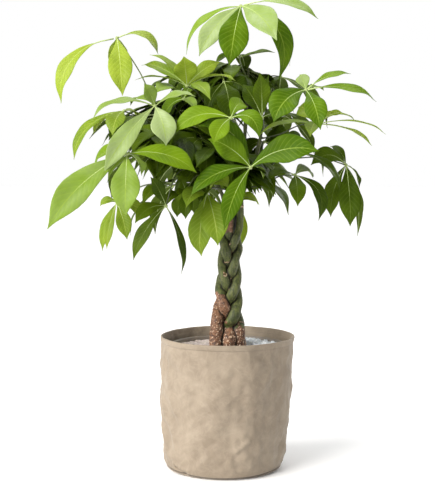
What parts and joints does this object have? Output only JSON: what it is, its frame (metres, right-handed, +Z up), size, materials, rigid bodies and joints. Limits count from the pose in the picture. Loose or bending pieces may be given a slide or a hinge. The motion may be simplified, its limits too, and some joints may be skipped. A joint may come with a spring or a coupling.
{
  "type": "potted money tree",
  "caption": "Braided money tree with drooping palmate leaves, planted in a nursery pot inside a soft bag planter; it stands on its flat base.",
  "frame": {"origin": "on the floor, under the middle of the planter's rim", "axes": "+Z up the trunk, -Y towards the front of the plant, +X to the viewer's right"},
  "size_m": [0.5709, 0.4963, 0.8279],
  "materials": {
    "bag_fabric": "matt, crumpled",
    "pot_plastic": "matt",
    "potting_mix": "loose and rough",
    "clear_film": "thin and glossy",
    "bark": "ringed bark",
    "leaf_young": "soft sheen",
    "leaf_mid": "soft sheen",
    "leaf_dark": "soft sheen"
  },
  "bodies": {
    "root": {"frond_01": "leaf_young", "frond_02": "leaf_mid", "frond_03": "leaf_young", "frond_04": "leaf_mid", "frond_05": "leaf_dark", "frond_06": "leaf_young", "frond_07": "leaf_dark", "frond_08": "leaf_dark", "frond_09": "leaf_young", "frond_10": "leaf_young", "frond_11": "leaf_mid", "frond_12": "leaf_dark", "frond_13": "leaf_dark", "frond_14": "leaf_dark", "frond_15": "leaf_mid", "frond_16": "leaf_young", "frond_17": "leaf_dark", "frond_18": "leaf_mid", "frond_19": "leaf_mid", "frond_20": "leaf_dark", "frond_21": "leaf_young", "frond_22": "leaf_mid", "frond_23": "leaf_dark", "frond_24": "leaf_dark", "frond_25": "leaf_dark", "frond_26": "leaf_dark", "frond_27": "leaf_dark", "frond_28": "leaf_dark", "frond_29": "leaf_dark", "frond_30": "leaf_dark", "frond_31": "leaf_dark", "frond_32": "leaf_dark", "frond_33": "leaf_dark", "frond_34": "leaf_dark", "frond_35": "leaf_dark", "frond_36": "leaf_dark", "frond_37": "leaf_dark", "frond_38": "leaf_dark", "frond_39": "leaf_dark", "frond_40": "leaf_dark", "frond_41": "leaf_dark", "grow_bag": "bag_fabric", "liner_film": "clear_film", "nursery_pot": "pot_plastic", "soil": "potting_mix", "stem_1": "bark", "stem_2": "bark", "stem_3": "bark", "stem_4": "bark", "stem_5": "bark"}
  },
  "joints": []
}
